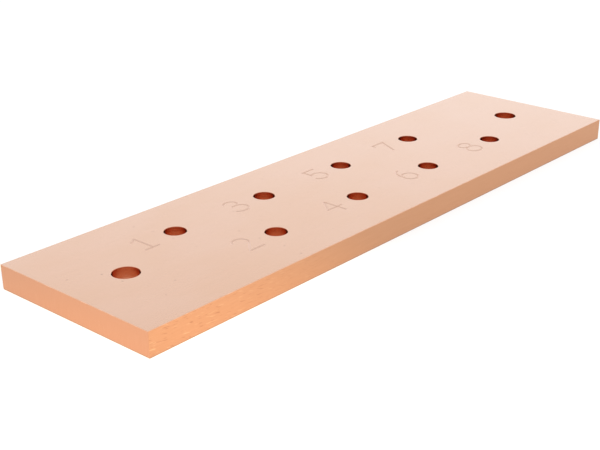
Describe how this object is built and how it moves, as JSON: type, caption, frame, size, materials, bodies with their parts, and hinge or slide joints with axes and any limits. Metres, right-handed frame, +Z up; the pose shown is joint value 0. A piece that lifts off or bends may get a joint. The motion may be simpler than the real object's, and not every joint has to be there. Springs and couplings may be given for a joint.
{
  "type": "earth terminal bar",
  "caption": "Flat copper earth bar with staggered rows of numbered bolt holes for cable lugs and a larger fixing hole near each end.",
  "frame": {"origin": "middle of the underside", "axes": "+X along the bar from terminal 1 towards terminal 8, +Y towards the row of odd-numbered terminals, +Z up out of the numbered face"},
  "size_m": [0.3, 0.08, 0.01],
  "materials": {
    "copper": "bright mill-finish copper, matt on the wide faces, sawn and scratched on the edges"
  },
  "bodies": {
    "root": {"bar": "copper"}
  },
  "joints": []
}
